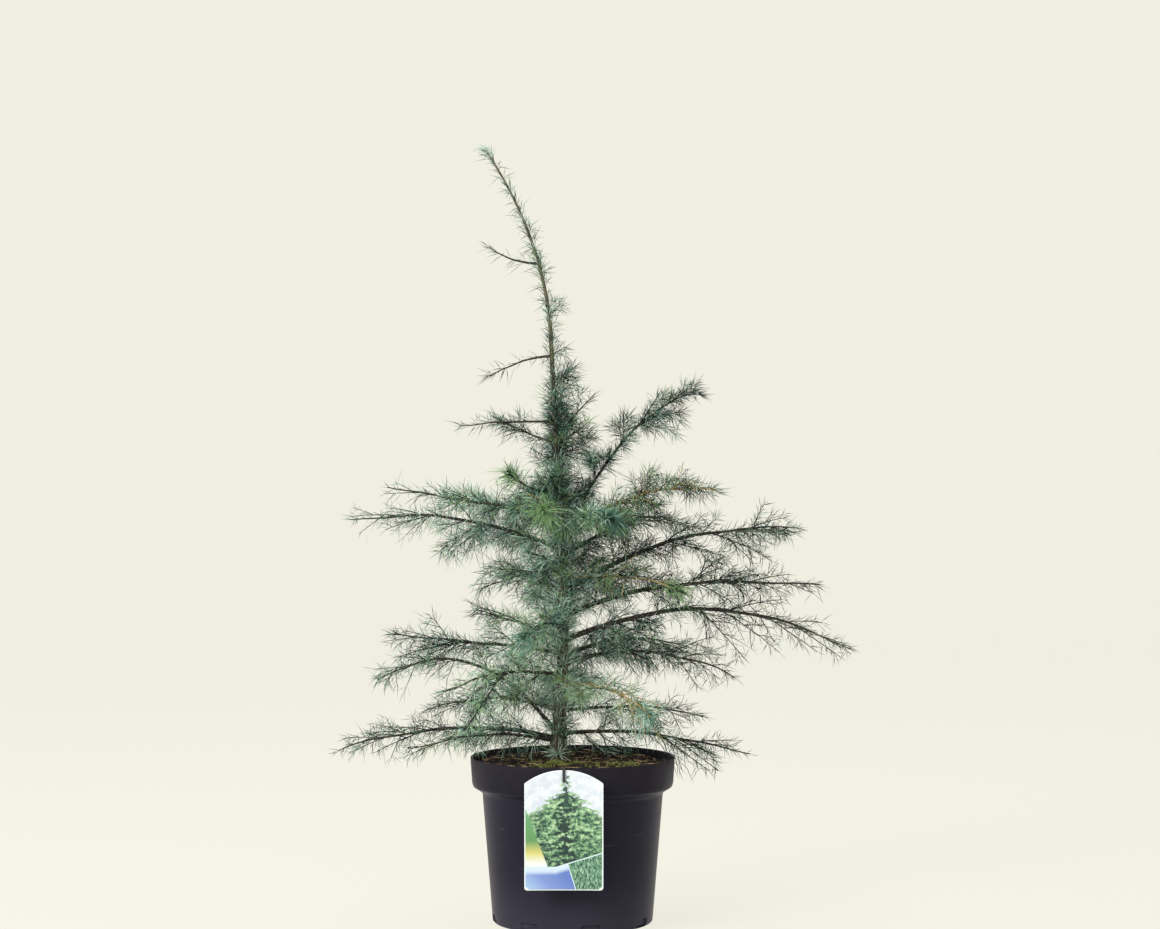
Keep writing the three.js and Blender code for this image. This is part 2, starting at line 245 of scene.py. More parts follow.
# The floor is level for 4.2 m all round, then turns up by a quarter circle into a round wall.
FLOOR_REACH, TURN_UP, WALL_TOP = 4.2, 1.5, 6.0
quarter = np.linspace(0, math.pi / 2, 24)[:, None]
turned_up = FLOOR_REACH + TURN_UP * np.sin(quarter)
out = np.concatenate([[[0.01], [1.5], [3.0]], turned_up, [[FLOOR_REACH + TURN_UP]]])
rise = np.concatenate([np.zeros((3, 1)), TURN_UP - TURN_UP * np.cos(quarter), [[WALL_TOP]]])
around = full_turn(96)
floor_points = [out * np.cos(around), out * np.sin(around), cad_low.z + rise + 0 * around]
floor_faces = grid_faces(len(out), len(around), True)[:, ::-1]
floor = mesh_piece("floor", np.stack(floor_points, -1).reshape(-1, 3), [floor_faces])
paper = Finish("pale_paper", CREAM, 0.95)
own_light = paper.node("ShaderNodeEmission", {}, {"Color": CREAM, "Strength": 1.03})
in_lamplight = Value(paper, paper.shader.outputs[0])
both = paper.node("ShaderNodeMixShader", {}, {0: 0.12, 1: own_light, 2: in_lamplight})
paper.put(paper.nodes["Material Output"].inputs["Surface"], both)
paper.cover(floor)

world = bpy.data.worlds.new("room")
bpy.context.scene.world = world
world.use_nodes = True
world.node_tree.nodes["Background"].inputs["Color"].default_value = (*CREAM, 1)
world.node_tree.nodes["Background"].inputs["Strength"].default_value = 0.4

# ----------------------------------------
# The pot. A thin-walled nursery pot, injection moulded in satin charcoal plastic: a deep collar
# with a rolled lip, a straight tapering wall, and drain notches round the edge of its flat foot.
# ----------------------------------------

POT_WALL = 0.0019
FOOT_RADIUS = 0.0875
NECK_RADIUS = 0.099
COLLAR = 0.032
SHOULDER = 0.006
FLOOR_THICK = 0.002
POT_COLUMNS = 288
ARC_STEPS = 5


def rounded(corners, radii):
    """A profile with each corner replaced by an arc: a quadratic curve between the two points that
    lie the radius before and after the corner."""
    line = [corners[0]]
    for before, corner, after, radius in zip(corners, corners[1:], corners[2:], radii):
        before, corner, after = map(np.array, (before, corner, after))
        start = corner + (before - corner) * radius / np.linalg.norm(before - corner)
        end = corner + (after - corner) * radius / np.linalg.norm(after - corner)
        t = np.linspace(0, 1, ARC_STEPS)[:, None]
        line.extend((1 - t) ** 2 * start + 2 * t * (1 - t) * corner + t**2 * end)
    return np.array([*line, corners[-1]])


pot_low, pot_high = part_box("pot")
rim_radius = (pot_high.x - pot_low.x) / 2
rim_top = pot_high.z
band_foot = rim_top - COLLAR
neck_height = band_foot - SHOULDER

pot_profile = rounded(
    [
        (0.0, 0.0),
        (FOOT_RADIUS, 0.0),
        (NECK_RADIUS, neck_height),
        (rim_radius - 0.0032, band_foot + 0.0004),
        (rim_radius - 0.0022, band_foot + 0.0046),
        (rim_radius - 0.0004, rim_top),
        (rim_radius - 0.0004 - POT_WALL, rim_top),
        (rim_radius - 0.0025 - POT_WALL, band_foot + 0.004),
        (NECK_RADIUS - POT_WALL, neck_height + 0.002),
        (FOOT_RADIUS - POT_WALL, FLOOR_THICK),
        (0.0, FLOOR_THICK),
    ],
    [0.0028, 0.003, 0.0012, 0.001, 0.0008, 0.0008, 0.002, 0.003, 0.002],
)
# More rings on the foot and the wall, so that the notches have something to bend.
walked = np.concatenate([[0], np.cumsum(np.linalg.norm(np.diff(pot_profile, axis=0), axis=1))])
close_rings, wide_rings = np.arange(0.07, 0.105, 0.0008), np.arange(0.105, walked[-1], 0.006)
ring_places = np.unique(np.concatenate([walked, close_rings, wide_rings]))
pot_profile = np.stack([np.interp(ring_places, walked, pot_profile[:, k]) for k in (0, 1)], 1)
turn = full_turn(POT_COLUMNS)
radius = np.broadcast_to(pot_profile[:, :1], (len(pot_profile), POT_COLUMNS)).copy()
height = np.broadcast_to(pot_profile[:, 1:], radius.shape).copy()

# Each notch: the outer wall and the foot's edge step in and up, by a smooth 0 to 1 share.
NOTCH_HALF, NOTCH_HEIGHT, NOTCH_DEPTH, NOTCH_EDGE = 0.0095, 0.009, 0.012, 0.0012
NOTCH_SPACING, NOTCH_TURN = math.pi / 4, math.radians(-122)
from_middle = (turn - NOTCH_TURN + NOTCH_SPACING / 2) % NOTCH_SPACING - NOTCH_SPACING / 2
past_notch = np.clip(radius - (FOOT_RADIUS - NOTCH_DEPTH), 0, 1)
in_notch = np.clip((NOTCH_HALF - np.abs(from_middle) * FOOT_RADIUS) / NOTCH_EDGE + 0.5, 0, 1)
outer = np.arange(len(pot_profile)) < len(pot_profile) * 0.5
low_wall = np.clip((NOTCH_HEIGHT - height) / NOTCH_EDGE + 0.5, 0, 1) * outer[:, None]
near_edge = np.clip((radius - (FOOT_RADIUS - NOTCH_DEPTH)) / NOTCH_EDGE + 0.5, 0, 1)
radius -= in_notch[None, :] * low_wall * near_edge * past_notch * (height > 0.0005)
# A moulded wall is never quite round.
radius *= 1 + 0.0012 * np.sin(2 * turn + 0.6) + 0.0006 * np.sin(5 * turn)

pot_points = np.stack([radius * np.cos(turn), radius * np.sin(turn), height], -1).reshape(-1, 3)
pot = mesh_piece("nursery_pot", pot_points, [grid_faces(len(pot_profile), POT_COLUMNS, True)])

satin = {"Specular_IOR_Level": 0.08, "Specular_Tint": (0.70, 0.70, 1.0)}
plastic = Finish("charcoal_plastic", (0.016, 0.015, 0.024), 0.42, **satin)
cloudy = plastic.noise(9, 3)
streaks = plastic.noise(24, 3, plastic.place((1, 1, 0.12)))
scuffs = plastic.noise(70, 5, plastic.place((0.35, 0.35, 2.2))).between(0.6, 0.78)
grain = plastic.noise(1400, 2)
height_up = plastic.axis(2)
collar_painted_shade = height_up.between(band_foot - 0.001, band_foot + 0.003)
dusty = height_up.between(band_foot - 0.03, rim_top) * 0.5 + plastic.noise(38, 6) * 0.7
dusty = dusty.between(0.55, 1.0)
mottled = cloudy * 0.6 + streaks * 0.4
tone = plastic.mix(mottled, (0.0100, 0.0090, 0.0170), (0.0230, 0.0210, 0.0370))
tone = plastic.mix(scuffs * 0.35, tone, (0.09, 0.088, 0.11))
tone = plastic.mix(dusty * 0.10, tone, (0.16, 0.13, 0.10))
# Painted shade: the collar and everything above its foot are painted nearly black, darker than the
# same plastic below.
tone = plastic.mix(collar_painted_shade * 0.45, tone, (0.006, 0.005, 0.009))
# Painted light: the wall is painted paler and bluer towards its foot, as if lit by the pale floor.
tone = plastic.mix(height_up.between(0.07, 0.0) * 0.5, tone, (0.045, 0.043, 0.062))
plastic.set("Base Color", tone)
plastic.set("Roughness", streaks * 0.12 + scuffs * 0.16 + dusty * 0.2 + 0.3)
plastic.relief(grain * 0.5 + streaks * 0.5, 0.25, 0.0004)
plastic.cover(pot)
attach(pot, "root")
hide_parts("pot")

# ----------------------------------------
# The potting soil. Coarse bark compost, a finger's breadth below the rim and a little higher at
# the stem: crumbs and shreds of bark lie loose on it, with cast needles and a patch of moss.
# ----------------------------------------

SOIL_RINGS, SOIL_COLUMNS = 100, 240
SOIL_EDGE = rim_radius - 0.0033
SOIL_EDGE_TOP = rim_top - 0.0105
SOIL_UNDER = rim_top - 0.03
dome_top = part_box("soil")[1].z - 0.001


def lumps(x, y, cell, seed):
    """Smooth random heights from 0 to 1: a seeded lattice with that cell, blended by s*s*(3-2s)."""
    lattice = np.random.default_rng(seed).random((97, 97))
    u, v = np.asarray(x) / cell + 48, np.asarray(y) / cell + 48
    i, j = np.floor(u).astype(int), np.floor(v).astype(int)
    s, t = u - i, v - j
    s, t = s * s * (3 - 2 * s), t * t * (3 - 2 * t)
    near, far, low, high = i % 97, (i + 1) % 97, j % 97, (j + 1) % 97
    bottom = lattice[near, low] * (1 - s) + lattice[far, low] * s
    top = lattice[near, high] * (1 - s) + lattice[far, high] * s
    return bottom * (1 - t) + top * t


def unit(vectors):
    """Each vector at length 1."""
    return vectors / np.maximum(np.linalg.norm(vectors, axis=-1, keepdims=True), 1e-9)


def soil_height(x, y):
    """The soil's surface: a low dome, 1 - out squared, plus lumps in three sizes."""
    out = np.hypot(x, y) / SOIL_EDGE
    dome = SOIL_EDGE_TOP + (dome_top - SOIL_EDGE_TOP) * (1 - out**2)
    rough = (lumps(x, y, 0.021, 3) - 0.5) * 0.005 + (lumps(x, y, 0.0065, 4) - 0.5) * 0.0034
    return dome + rough + (lumps(x, y, 0.0024, 5) - 0.5) * 0.0018


def fan(pole, ring):
    """Triangles from a pole to each pair of neighbours on a closed ring of point numbers."""
    return np.stack([np.full(len(ring), pole), ring, np.roll(ring, -1)], 1)


around = full_turn(SOIL_COLUMNS)
out = SOIL_EDGE * np.linspace(1, 0.004, SOIL_RINGS)[:, None]
soil_x, soil_y = out * np.cos(around), out * np.sin(around)
top_face = np.stack([soil_x, soil_y, soil_height(soil_x, soil_y)], -1)
skirt = top_face[0] * (0.968, 0.968, 0) + (0, 0, SOIL_UNDER)
soil_points = np.concatenate([[skirt], top_face]).reshape(-1, 3)
first_ring = np.arange(SOIL_COLUMNS)
last_ring = len(soil_points) - SOIL_COLUMNS + first_ring
under, summit = len(soil_points), len(soil_points) + 1
soil = mesh_piece(
    "compost",
    np.concatenate([soil_points, [[0, 0, SOIL_UNDER], top_face[-1].mean(0)]]),
    [
        grid_faces(SOIL_RINGS + 1, SOIL_COLUMNS, True),
        np.concatenate([fan(under, first_ring[::-1]), fan(summit, last_ring)]),
    ],
)

earth = Finish("bark_compost", (0.045, 0.026, 0.016), 0.95)
crumb = earth.noise(260, 6)
patches = earth.noise(45, 4)
fibres = earth.noise(120, 5, earth.place((1, 3.5, 1)))
brown = earth.ramp(
    crumb * 0.65 + fibres * 0.35,
    (0.3, (0.006, 0.004, 0.003)),
    (0.47, (0.022, 0.013, 0.009)),
    (0.6, (0.062, 0.034, 0.020)),
    (0.75, (0.16, 0.10, 0.065)),
)
earth.set("Base Color", earth.mix(patches.between(0.55, 0.8) * 0.4, brown, (0.02, 0.013, 0.009)))
earth.relief(crumb, 0.8, 0.0015)
earth.cover(soil)
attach(soil, "root")
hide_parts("soil")


def slabs(middle, along, flat, size):
    """Tapered slabs: eight corners each at the middle, plus or minus half the size along the
    slab, across it and through it, narrower at one end."""
    through = unit(np.cross(along, flat))
    flat = np.cross(through, along)
    corners = np.array([(a, b, c) for a in (-1, 1) for b in (-1, 1) for c in (-1, 1)]) / 2
    narrow = np.where(corners[:, 0] > 0, 0.55, 1.0)
    points = (
        middle[:, None]
        + along[:, None] * (corners[:, 0] * size[:, :1])[..., None]
        + flat[:, None] * (corners[:, 1] * narrow * size[:, 1:2])[..., None]
        + through[:, None] * (corners[:, 2] * narrow * size[:, 2:])[..., None]
    )
    sides = [(0, 1, 3, 2), (4, 6, 7, 5), (0, 4, 5, 1), (2, 3, 7, 6), (0, 2, 6, 4), (1, 5, 7, 3)]
    faces = (np.arange(len(middle)) * 8)[:, None, None] + np.array(sides)
    return points.reshape(-1, 3), faces.reshape(-1, 4)


def spindles(base, ahead, length, thick, bend, rings=((0.25, 1.0), (0.7, 0.85))):
    """Pointed three-sided slivers: base + ahead*length*q + bend*q*q for q from 0 to 1, with a
    point at each end and a ring of three corners for each pair (q, share of the thickness)."""
    side = unit(np.cross(ahead, (0.31, 0.52, 0.79)))
    over = np.cross(ahead, side)
    spin = np.arange(3) * 2 * math.pi / 3
    ring = side[:, None] * np.cos(spin)[:, None] + over[:, None] * np.sin(spin)[:, None]
    along = ahead * length[:, None]
    skin = [
        (base + along * q + bend * q * q)[:, None] + ring * (thick * girth / 2)[:, None, None]
        for q, girth in rings
    ]
    points = np.concatenate([base[:, None], *skin, (base + along + bend)[:, None]], 1)
    last, tip = 3 * len(rings) - 2, 3 * len(rings) + 1
    faces = []
    for k, after in ((0, 1), (1, 2), (2, 0)):
        faces += [(0, 1 + after, 1 + k), (tip, last + k, last + after)]
        for low in range(1, last, 3):
            faces += [(low + k, low + after, low + 3 + k)]
            faces += [(low + after, low + 3 + after, low + 3 + k)]
    offset = (np.arange(len(base)) * (tip + 1))[:, None, None]
    return points.reshape(-1, 3), (offset + np.array(faces)).reshape(-1, 3)


def scatter(count, chance, seed):
    """Seeded places on the soil, kept with the chance that the function gives at x, y."""
    dice = np.random.default_rng(seed)
    spin = dice.random(count) * 2 * math.pi
    away = (SOIL_EDGE - 0.002) * np.sqrt(dice.random(count))
    x, y = away * np.cos(spin), away * np.sin(spin)
    keep = dice.random(count) < chance(x, y)
    return np.stack([x, y, soil_height(x, y)], 1)[keep]


def anywhere(x, y):
    """The same chance all over the soil."""
    return np.full(len(x), 0.9)


def lying(count, tilt, seed):
    """Seeded directions that lie level, give or take tilt."""
    dice = np.random.default_rng(seed)
    spin = dice.random(count) * 2 * math.pi
    return unit(np.stack([np.cos(spin), np.sin(spin), (dice.random(count) - 0.5) * tilt], 1))


LITTER = {  # name: (how many, length, width and thickness, colour)
    "dark_bark": (1500, (0.0075, 0.0034, 0.0017), (0.014, 0.009, 0.007)),
    "rusty_bark": (600, (0.0095, 0.0026, 0.0012), (0.045, 0.019, 0.011)),
    "pale_fibre": (250, (0.0120, 0.0012, 0.0007), (0.25, 0.155, 0.09)),
}
for order, (name, (count, size, colour)) in enumerate(LITTER.items()):
    spots = scatter(count, anywhere, 30 + order)
    count = len(spots)
    dice = np.random.default_rng(60 + order)
    sizes = size * (0.45 + 1.1 * dice.random((count, 1))) * (0.7 + 0.6 * dice.random((count, 3)))
    spots[:, 2] += 0.3 * sizes[:, 2]
    away = np.hypot(spots[:, 0], spots[:, 1])
    spots[:, :2] *= np.minimum(1, (SOIL_EDGE - 0.5 * sizes[:, 0] - 0.001) / away)[:, None]
    along, flat = lying(count, 0.7, 70 + order), lying(count, 0.8, 80 + order)
    points, faces = slabs(spots, along, flat, sizes)
    shreds = mesh_piece(name, points, [faces], smooth=False)
    Finish(name, colour, 0.9).cover(shreds)
    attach(shreds, "root")


def moss_chance(x, y):
    """Thick in a strip before the stem, left of the middle, and thinner to the right."""
    strip = np.exp(-(((y + 0.034) / 0.016) ** 2))
    left = np.exp(-(((x + 0.020) / 0.020) ** 2))
    right = 0.55 * np.exp(-(((x - 0.050) / 0.032) ** 2))
    return strip * (left + right) * (0.2 + 1.1 * lumps(x, y, 0.008, 9)) + 0.012


spots = scatter(42000, moss_chance, 91)
dice = np.random.default_rng(92)
count = len(spots)
leaf_way = unit(dice.normal(size=(count, 3)) * (0.7, 0.7, 0.3) + (0, 0, 0.9))
leaf_length = 0.0022 + 0.0022 * dice.random(count)
spots[:, 2] += 0.0022 * lumps(spots[:, 0], spots[:, 1], 0.006, 93) - 0.0008
points, faces = spindles(spots, leaf_way, leaf_length, np.full(count, 0.00095), 0 * spots)
moss = mesh_piece("moss", points, [faces])
Finish("moss_green", (0.20, 0.24, 0.055), 0.85).cover(moss)
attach(moss, "root")

spots = scatter(420, anywhere, 94)
dice = np.random.default_rng(95)
count = len(spots)
spots[:, 2] += 0.0012
way = lying(count, 0.25, 96)
length = 0.012 + 0.012 * dice.random(count)
ends = spots + way * length[:, None]
clear_of_pot = np.hypot(ends[:, 0], ends[:, 1]) < SOIL_EDGE - 0.001
kept = clear_of_pot & (np.hypot(ends[:, 0] + 0.017, ends[:, 1]) > 0.01)
spots, way, length = spots[kept], way[kept], length[kept]
points, faces = spindles(spots, way, length, np.full(len(spots), 0.0011), 0 * spots)
cast = mesh_piece("cast_needles", points, [faces])
Finish("dry_needle", (0.47, 0.33, 0.19), 0.8).cover(cast)
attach(cast, "root")

# ----------------------------------------
# The picture label. A card of glossy white plastic with an arched top, printed with a conifer
# under a pale sky, hung in front of the collar by a thin black strip hooked over the rim.
# ----------------------------------------

ARCH_RISE = 0.014
CARD_CORNER = 0.003
CARD_THICK = 0.0008
CARD_ROWS, CARD_COLUMNS = 61, 49

label_low, label_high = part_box("label")
card_half = (label_high.x - label_low.x) / 2
card_height = label_high.z - label_low.z
card_middle = (label_high.x + label_low.x) / 2

spread = np.sin(np.linspace(-math.pi / 2, math.pi / 2, CARD_COLUMNS)) * card_half
climb = np.linspace(0, 1, CARD_ROWS)[:, None]
arch_radius = (card_half**2 + ARCH_RISE**2) / (2 * ARCH_RISE)
upper = card_height - arch_radius + np.sqrt(arch_radius**2 - spread**2)
corner_in = np.clip(np.abs(spread) - (card_half - CARD_CORNER), 0, CARD_CORNER)
lower = CARD_CORNER - np.sqrt(np.maximum(CARD_CORNER**2 - corner_in**2, 0))
card_z = lower + (upper - lower) * climb
card_x = np.broadcast_to(spread, card_z.shape)
# A card that hangs free bows a little: its edges come forward by the square of the distance.
bow = 0.0014 * (card_x / card_half) ** 2 + 0.0008 * np.sin(card_z / card_height * math.pi)
card_y = label_high.y - 0.0002 - bow
card_points = np.stack([card_x + card_middle, card_y, card_z + label_low.z], -1).reshape(-1, 3)
card = mesh_piece("picture_card", card_points, [grid_faces(CARD_ROWS, CARD_COLUMNS, False)])
corners = np.array([loop.vertex_index for loop in card.data.loops])
print_places = np.stack([card_x / card_half / 2 + 0.5, card_z / card_height], -1).reshape(-1, 2)
card.data.uv_layers.new(name="print").data.foreach_set("uv", print_places[corners].ravel())
walls = card.modifiers.new("thickness", "SOLIDIFY")
walls.thickness, walls.offset = CARD_THICK, -1

gloss = Finish("printed_card", (0.8, 0.85, 0.85), 0.28, Specular_IOR_Level=0.5)
print_map = gloss.node("ShaderNodeUVMap", {"uv_map": "print"})
# From here to the border all places and widths on the card are in millimetres.
half_mm, height_mm, arch_mm = 1000 * card_half, 1000 * card_height, 1000 * arch_radius
print_x = gloss.axis(0, print_map) * (2 * half_mm)
print_z = gloss.axis(1, print_map) * height_mm
in_mm = gloss.place((2 * half_mm, height_mm, 1), print_map)
leafy = gloss.noise(0.24, 8, in_mm, 0.74)
blotch = gloss.noise(0.085, 3, in_mm)
boughy = gloss.noise(0.11, 5, gloss.place((0.75, 2.0, 1), in_mm), 0.62)

# Pale sky over a hazy wood, then the conifer: a bare spire, a first whorl, then a broad skirt.
sky = gloss.mix(blotch.between(0.40, 0.62), (0.62, 0.69, 0.80), (0.76, 0.81, 0.89))
wood = gloss.ramp(leafy, (0.35, (0.20, 0.33, 0.20)), (0.65, (0.52, 0.60, 0.36)))
sky = gloss.mix((print_z + boughy * 34).between(96, 88), sky, wood)
from_tip = 122 - print_z
off_trunk = (print_x - 43.0 - (print_z * 0.07).wave()).size()
half_width = from_tip.between(17, 28) * 17 + from_tip.between(32, 48) * 22 + from_tip * 0.1 + 1
half_width = half_width + (boughy - 0.5) * (from_tip * 0.9 + 22) + (leafy - 0.5) * 46
tree_mask = (half_width - off_trunk).between(-0.3, 0.5) * from_tip.between(0, 1)
core = off_trunk + (boughy - 0.5) * 60 + (leafy - 0.5) * 30
lightness = leafy * 1.15 + boughy * 0.75 - 0.44
lightness = lightness - core.between(9, 1) * 0.13 - from_tip.between(60, 96) * 0.06
tree_green = gloss.ramp(
    lightness,
    (0.38, (0.012, 0.035, 0.035)),
    (0.45, (0.055, 0.13, 0.085)),
    (0.51, (0.12, 0.27, 0.14)),
    (0.58, (0.27, 0.45, 0.24)),
    (0.70, (0.56, 0.74, 0.50)),
)
picture = gloss.mix(tree_mask, sky, tree_green)
spire = off_trunk < from_tip * 0.04 + 0.7 + (leafy - 0.5) * 22
spire = spire * from_tip.between(0, 1) * (from_tip < 34)
picture = gloss.mix(spire * leafy.between(0.36, 0.48), picture, (0.035, 0.085, 0.06))
# A soft band of colour widens down the left edge, green at the top and yellow, then white, below.
band = (34.4 - print_z * 0.385 - print_x).between(-0.5, 1.0)
band_colour = gloss.ramp(
    print_z / 90,
    (0.0, (0.22, 0.34, 0.68)),
    (0.2, (0.50, 0.62, 0.84)),
    (0.31, (0.80, 0.86, 0.86)),
    (0.43, (0.66, 0.62, 0.20)),
    (0.58, (0.12, 0.30, 0.11)),
    (0.95, (0.14, 0.38, 0.17)),
)
# The foot is blue, under a pale line that sweeps up to the right.
foot_line = (print_x - 33).most(0) * 0.31 + 24.6 - print_z
blue = gloss.ramp(
    print_x / 60 + print_z / 60,
    (0.15, (0.34, 0.50, 0.80)),
    (0.5, (0.20, 0.30, 0.66)),
    (0.95, (0.12, 0.20, 0.56)),
)
blue = gloss.mix((1 - foot_line * foot_line * 0.012).between(0, 1), blue, (0.62, 0.74, 0.90))
# A close view of the needles fills the corner at the lower right, inside a thin pale line.
close_view = gloss.ramp(
    gloss.noise(0.34, 6, gloss.place((1.5, 0.6, 1), in_mm, 0.5), 0.7),
    (0.38, (0.012, 0.05, 0.045)),
    (0.48, (0.07, 0.20, 0.13)),
    (0.56, (0.24, 0.42, 0.28)),
    (0.68, (0.55, 0.70, 0.56)),
)
inset_edge = print_x + print_z * 0.31 - 54.6
blue = gloss.mix(inset_edge.between(-1.0, -0.4), blue, (0.66, 0.84, 0.86))
blue = gloss.mix(inset_edge.between(0.0, 0.5), blue, close_view)
picture = gloss.mix(band, picture, band_colour)
picture = gloss.mix(foot_line.between(-0.6, 0.0), picture, (0.62, 0.78, 0.82))
picture = gloss.mix(foot_line.between(0.7, 1.2), picture, blue)
# White border, parallel to the card's arched outline.
off_middle = print_x - half_mm
arch_gap = arch_mm - (off_middle.power(2) + (print_z - (height_mm - arch_mm)).power(2)).root()
edge_gap = (half_mm - off_middle.size()).least(print_z).least(arch_gap)
gloss.set("Base Color", gloss.mix(edge_gap.between(1.3, 0.9), picture, (0.82, 0.90, 0.93)))
gloss.set("Roughness", gloss.noise(300, 2) * 0.1 + 0.24)
gloss.cover(card)
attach(card, "root")
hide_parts("label")

strip = Finish("strip_plastic", (0.02, 0.02, 0.022), 0.4)
worn = strip.noise(500, 3)
scratched = worn.between(0.4, 0.7)
strip.set("Base Color", strip.mix(scratched, (0.012, 0.012, 0.014), (0.045, 0.045, 0.05)))
strip.set("Roughness", worn * 0.25 + 0.3)
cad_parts["label_hook"].data.materials.clear()
strip.cover(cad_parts["label_hook"])

# ----------------------------------------
# The trunk. A single stem with the flare of its roots at the soil, rough grey-brown bark below
# and smooth green-brown shoot at the top, where the soft leader nods over.
# ----------------------------------------

UP = np.array((0.0, 0.0, 1.0))
TRUNK_RINGS, TRUNK_ROUND = 420, 40
SOFTEN = 16  # rings to either side that a smoothed ring is averaged with
INTO_SOIL = 0.004


def corners_of(*names):
    """The separate corners of those CAD nodes that are there, in metres."""
    points = []
    for name in names:
        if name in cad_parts:
            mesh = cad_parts[name].data
            flat = np.zeros(len(mesh.vertices) * 3)
            mesh.vertices.foreach_get("co", flat)
            points.append(flat.reshape(-1, 3))
    return np.unique(np.round(np.concatenate(points), 5), axis=0)


def on_lines(field, line, share):
    """The value of a field of shape (lines, points, 3) at shares from 0 to 1 of chosen lines,
    blended between the points on either side."""
    place = np.clip(share, 0, 1) * (field.shape[1] - 1)
    low = np.minimum(place.astype(int), field.shape[1] - 2)
    part = (place - low)[..., None]
    return field[line, low] * (1 - part) + field[line, low + 1] * part


def frames(paths):
    """Unit vectors ahead, to the side and up at every point of lines (lines, points, 3)."""
    ahead = unit(np.gradient(paths, axis=1))
    steep = np.abs(ahead[..., 2:]) > 0.85
    level = np.where(steep, np.array((0.0, 1.0, 0.0)), UP)
    side = unit(np.cross(ahead, level))
    return ahead, side, np.cross(side, ahead)


def stems(paths, radii):
    """Closed round stems: a ring of points round every point of each line, at radii of shape
    (lines, points, around), with a pole at each end."""
    lines, rings, round_it = radii.shape
    _, side, over = frames(paths)
    spin = full_turn(round_it)[:, None]
    ring = side[:, :, None] * np.cos(spin) + over[:, :, None] * np.sin(spin)
    skin = (paths[:, :, None] + ring * radii[..., None]).reshape(lines, -1, 3)
    skin = np.concatenate([skin, paths[:, :1], paths[:, -1:]], 1)
    quads = grid_faces(rings, round_it, True)[:, ::-1]
    first = np.arange(round_it)
    last = first + (rings - 1) * round_it
    foot, tip = rings * round_it, rings * round_it + 1
    caps = np.concatenate([fan(foot, first), fan(tip, last[::-1])])
    offset = (np.arange(lines) * skin.shape[1])[:, None, None]
    return skin.reshape(-1, 3), [(quads + offset).reshape(-1, 4), (caps + offset).reshape(-1, 3)]


# The CAD trunk is a stack of level rings: each one's middle and half-width give the stem's line.
trunk_corners = corners_of("trunk")
levels = np.unique(np.round(trunk_corners[:, 2], 4))
rings = [trunk_corners[np.abs(trunk_corners[:, 2] - level) < 2e-4] for level in levels]
middles = np.array([(ring.min(0) + ring.max(0)) / 2 for ring in rings])
widths = np.array([np.ptp(ring[:, 0]) / 2 for ring in rings])
heights = np.linspace(levels[0], levels[-1], TRUNK_RINGS)


def smoothed(values):
    """Interpolated at the fine heights, then averaged with its neighbours; the ends stay put."""
    fine = np.interp(heights, levels, values)
    before, after = fine[SOFTEN:0:-1], fine[-2 : -2 - SOFTEN : -1]
    held = np.concatenate([2 * fine[0] - before, fine, 2 * fine[-1] - after])
    weights = np.hanning(2 * SOFTEN + 1)
    return np.convolve(held, weights / weights.sum(), "valid")


trunk_line = np.stack([smoothed(middles[:, 0]), smoothed(middles[:, 1]), heights], 1)
trunk_radius = np.interp(heights, levels, widths)
tall = heights[:, None] * np.ones(TRUNK_ROUND)
wide = np.ones((TRUNK_RINGS, 1)) * full_turn(TRUNK_ROUND)
# Bark plates: lumps that repeat round the stem, over the spiral of pegs that old needles leave,
# and four low ribs where the roots begin.
plates = lumps(np.cos(wide) * 0.02, np.sin(wide) * 0.02 + tall * 0.35, 0.0045, 11) - 0.5
fine_plates = lumps(np.cos(wide) * 0.02 + 0.3, np.sin(wide) * 0.02 + tall * 0.9, 0.0022, 12) - 0.5
plates += 0.6 * fine_plates
pegs = np.maximum(0, np.sin(5 * wide + tall * 900) * np.sin(3 * wide - tall * 560)) ** 2
ribs = 0.16 * np.sin(4 * wide + 0.8) * np.exp(-(tall - heights[0]) / 0.012)
old_wood = np.interp(tall, [heights[0], heights[-1]], [1, 0.35])
trunk_radii = trunk_radius[:, None] * (1 + 0.20 * plates * old_wood + 0.07 * pegs + ribs)
trunk_line[0, 2] -= INTO_SOIL
points, face_sets = stems(trunk_line[None], trunk_radii[None])
trunk = mesh_piece("stem", points, face_sets)

bark = Finish("cedar_bark", (0.12, 0.09, 0.06), 0.88)
plate_noise = bark.noise(240, 6, bark.place((1, 1, 0.35)))
lichen = bark.noise(60, 4).between(0.6, 0.74)
old = bark.ramp(
    plate_noise,
    (0.3, (0.022, 0.016, 0.012)),
    (0.5, (0.085, 0.065, 0.048)),
    (0.68, (0.19, 0.16, 0.125)),
)
old = bark.mix(lichen * 0.45, old, (0.21, 0.22, 0.18))
young = bark.ramp(plate_noise, (0.35, (0.050, 0.052, 0.030)), (0.65, (0.15, 0.150, 0.090)))
bark.set("Base Color", bark.mix(bark.axis(2).between(0.5, 0.72), old, young))
bark.relief(plate_noise, 0.7, 0.0012)
bark.cover(trunk)
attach(trunk, "root")
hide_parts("trunk")

# ----------------------------------------
# The boughs. Each leaves the trunk on its own bearing, rises a little, arches over and thins out
# to its tip. The CAD plume and the bare limb before it give each bough's line and its spread.
# ----------------------------------------

SEED = 20
LIMB_POINTS, LIMB_ROUND = 64, 10
TIP_ROOM = 0.012  # needles reach this far past the end of a bough
TIP_RADIUS = 0.00055
COLLAR_LENGTH = 0.006  # of the swelling where a bough leaves the trunk
GOLDEN_LIMBS = ("front_right", "front_right_low", "right_front_high", "front_mid")  # first bark


